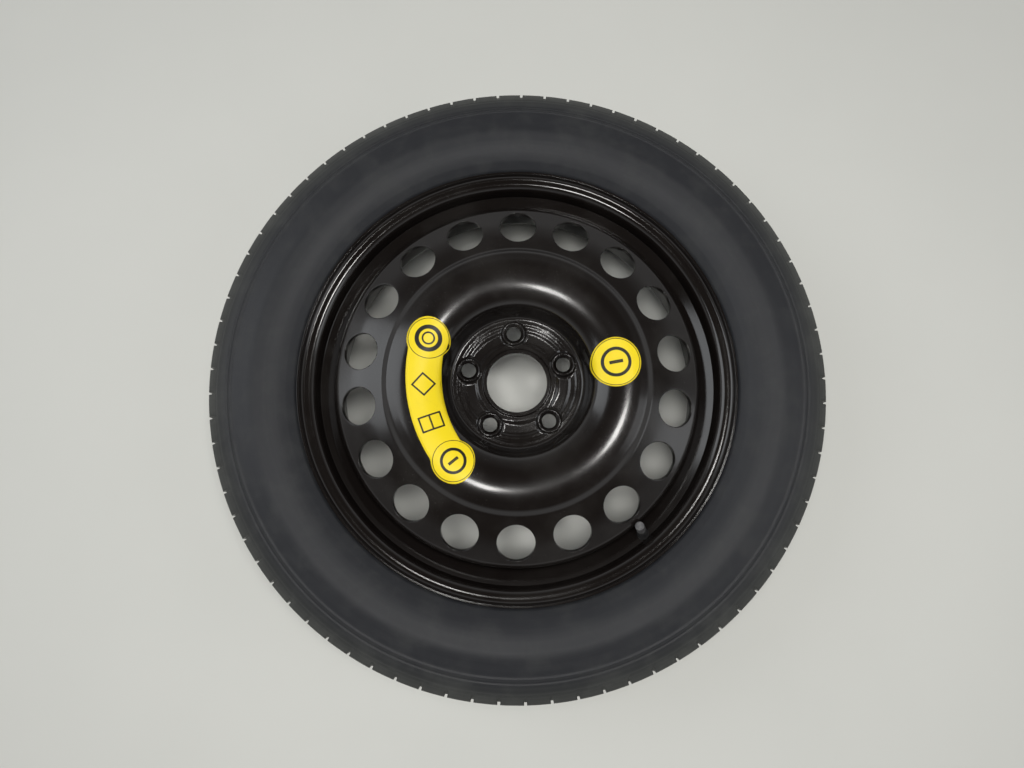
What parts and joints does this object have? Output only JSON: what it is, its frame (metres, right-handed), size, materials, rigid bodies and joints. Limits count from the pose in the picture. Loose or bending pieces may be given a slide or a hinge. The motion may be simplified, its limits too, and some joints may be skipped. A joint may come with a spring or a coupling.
{
  "type": "spare wheel",
  "caption": "Narrow temporary spare tyre on a black welded steel disc wheel with round vents, a domed centre, a bolt circle and a snap-in valve.",
  "frame": {"origin": "centre of the wheel: on its axis, at the middle plane of the tyre", "axes": "+Z along the wheel's axis towards the street side, which lies up; +X and +Y in the wheel's plane, with the valve at -50.4 degrees from +X"},
  "size_m": [0.655, 0.655, 0.152],
  "materials": {
    "tyre_rubber": "matte, slightly dusty",
    "black_paint": "gloss black paint on pressed steel",
    "valve_rubber": "matte",
    "valve_brass": "turned",
    "core_brass": "turned",
    "core_steel": "drawn wire",
    "core_rubber": "matte",
    "cap_plastic": "matte, worn grey",
    "label_vinyl": "printed vinyl"
  },
  "bodies": {
    "wheel": {"tyre": "tyre_rubber", "rim": "black_paint", "wheel_disc": "black_paint", "weld_beads": "black_paint", "valve_body": "valve_rubber", "valve_stem": "valve_brass", "core_plug": "core_brass", "core_gasket": "core_rubber", "core_spring": "core_steel", "label_round": "label_vinyl", "label_arc": "label_vinyl"},
    "cap_washer": {"cap_seal": "core_rubber"},
    "cap": {"valve_cap": "cap_plastic"},
    "core": {"core_pin": "core_brass", "core_seal": "core_rubber"}
  },
  "joints": [
    {"name": "cap_lift", "type": "slide", "parent": "wheel", "child": "cap_washer", "axis": [-0.2742, 0.3314, 0.9028], "range_m": [0, 0.00476]},
    {"name": "cap_turn", "type": "hinge", "parent": "cap_washer", "child": "cap", "pos_m": [0.13361, -0.16151, 0.02969], "axis": [-0.2742, 0.3314, 0.9028], "range_deg": [0, 2160]},
    {"name": "pin_press", "type": "slide", "parent": "wheel", "child": "core", "axis": [0.2742, -0.3314, -0.9028], "range_m": [0, 0.0012], "stiffness_N_per_m": 400, "deforming": ["core_spring"]}
  ],
  "couplings": [
    {"joint": "cap_turn", "follows": "cap_lift", "rad_per_m": 7913.3}
  ]
}
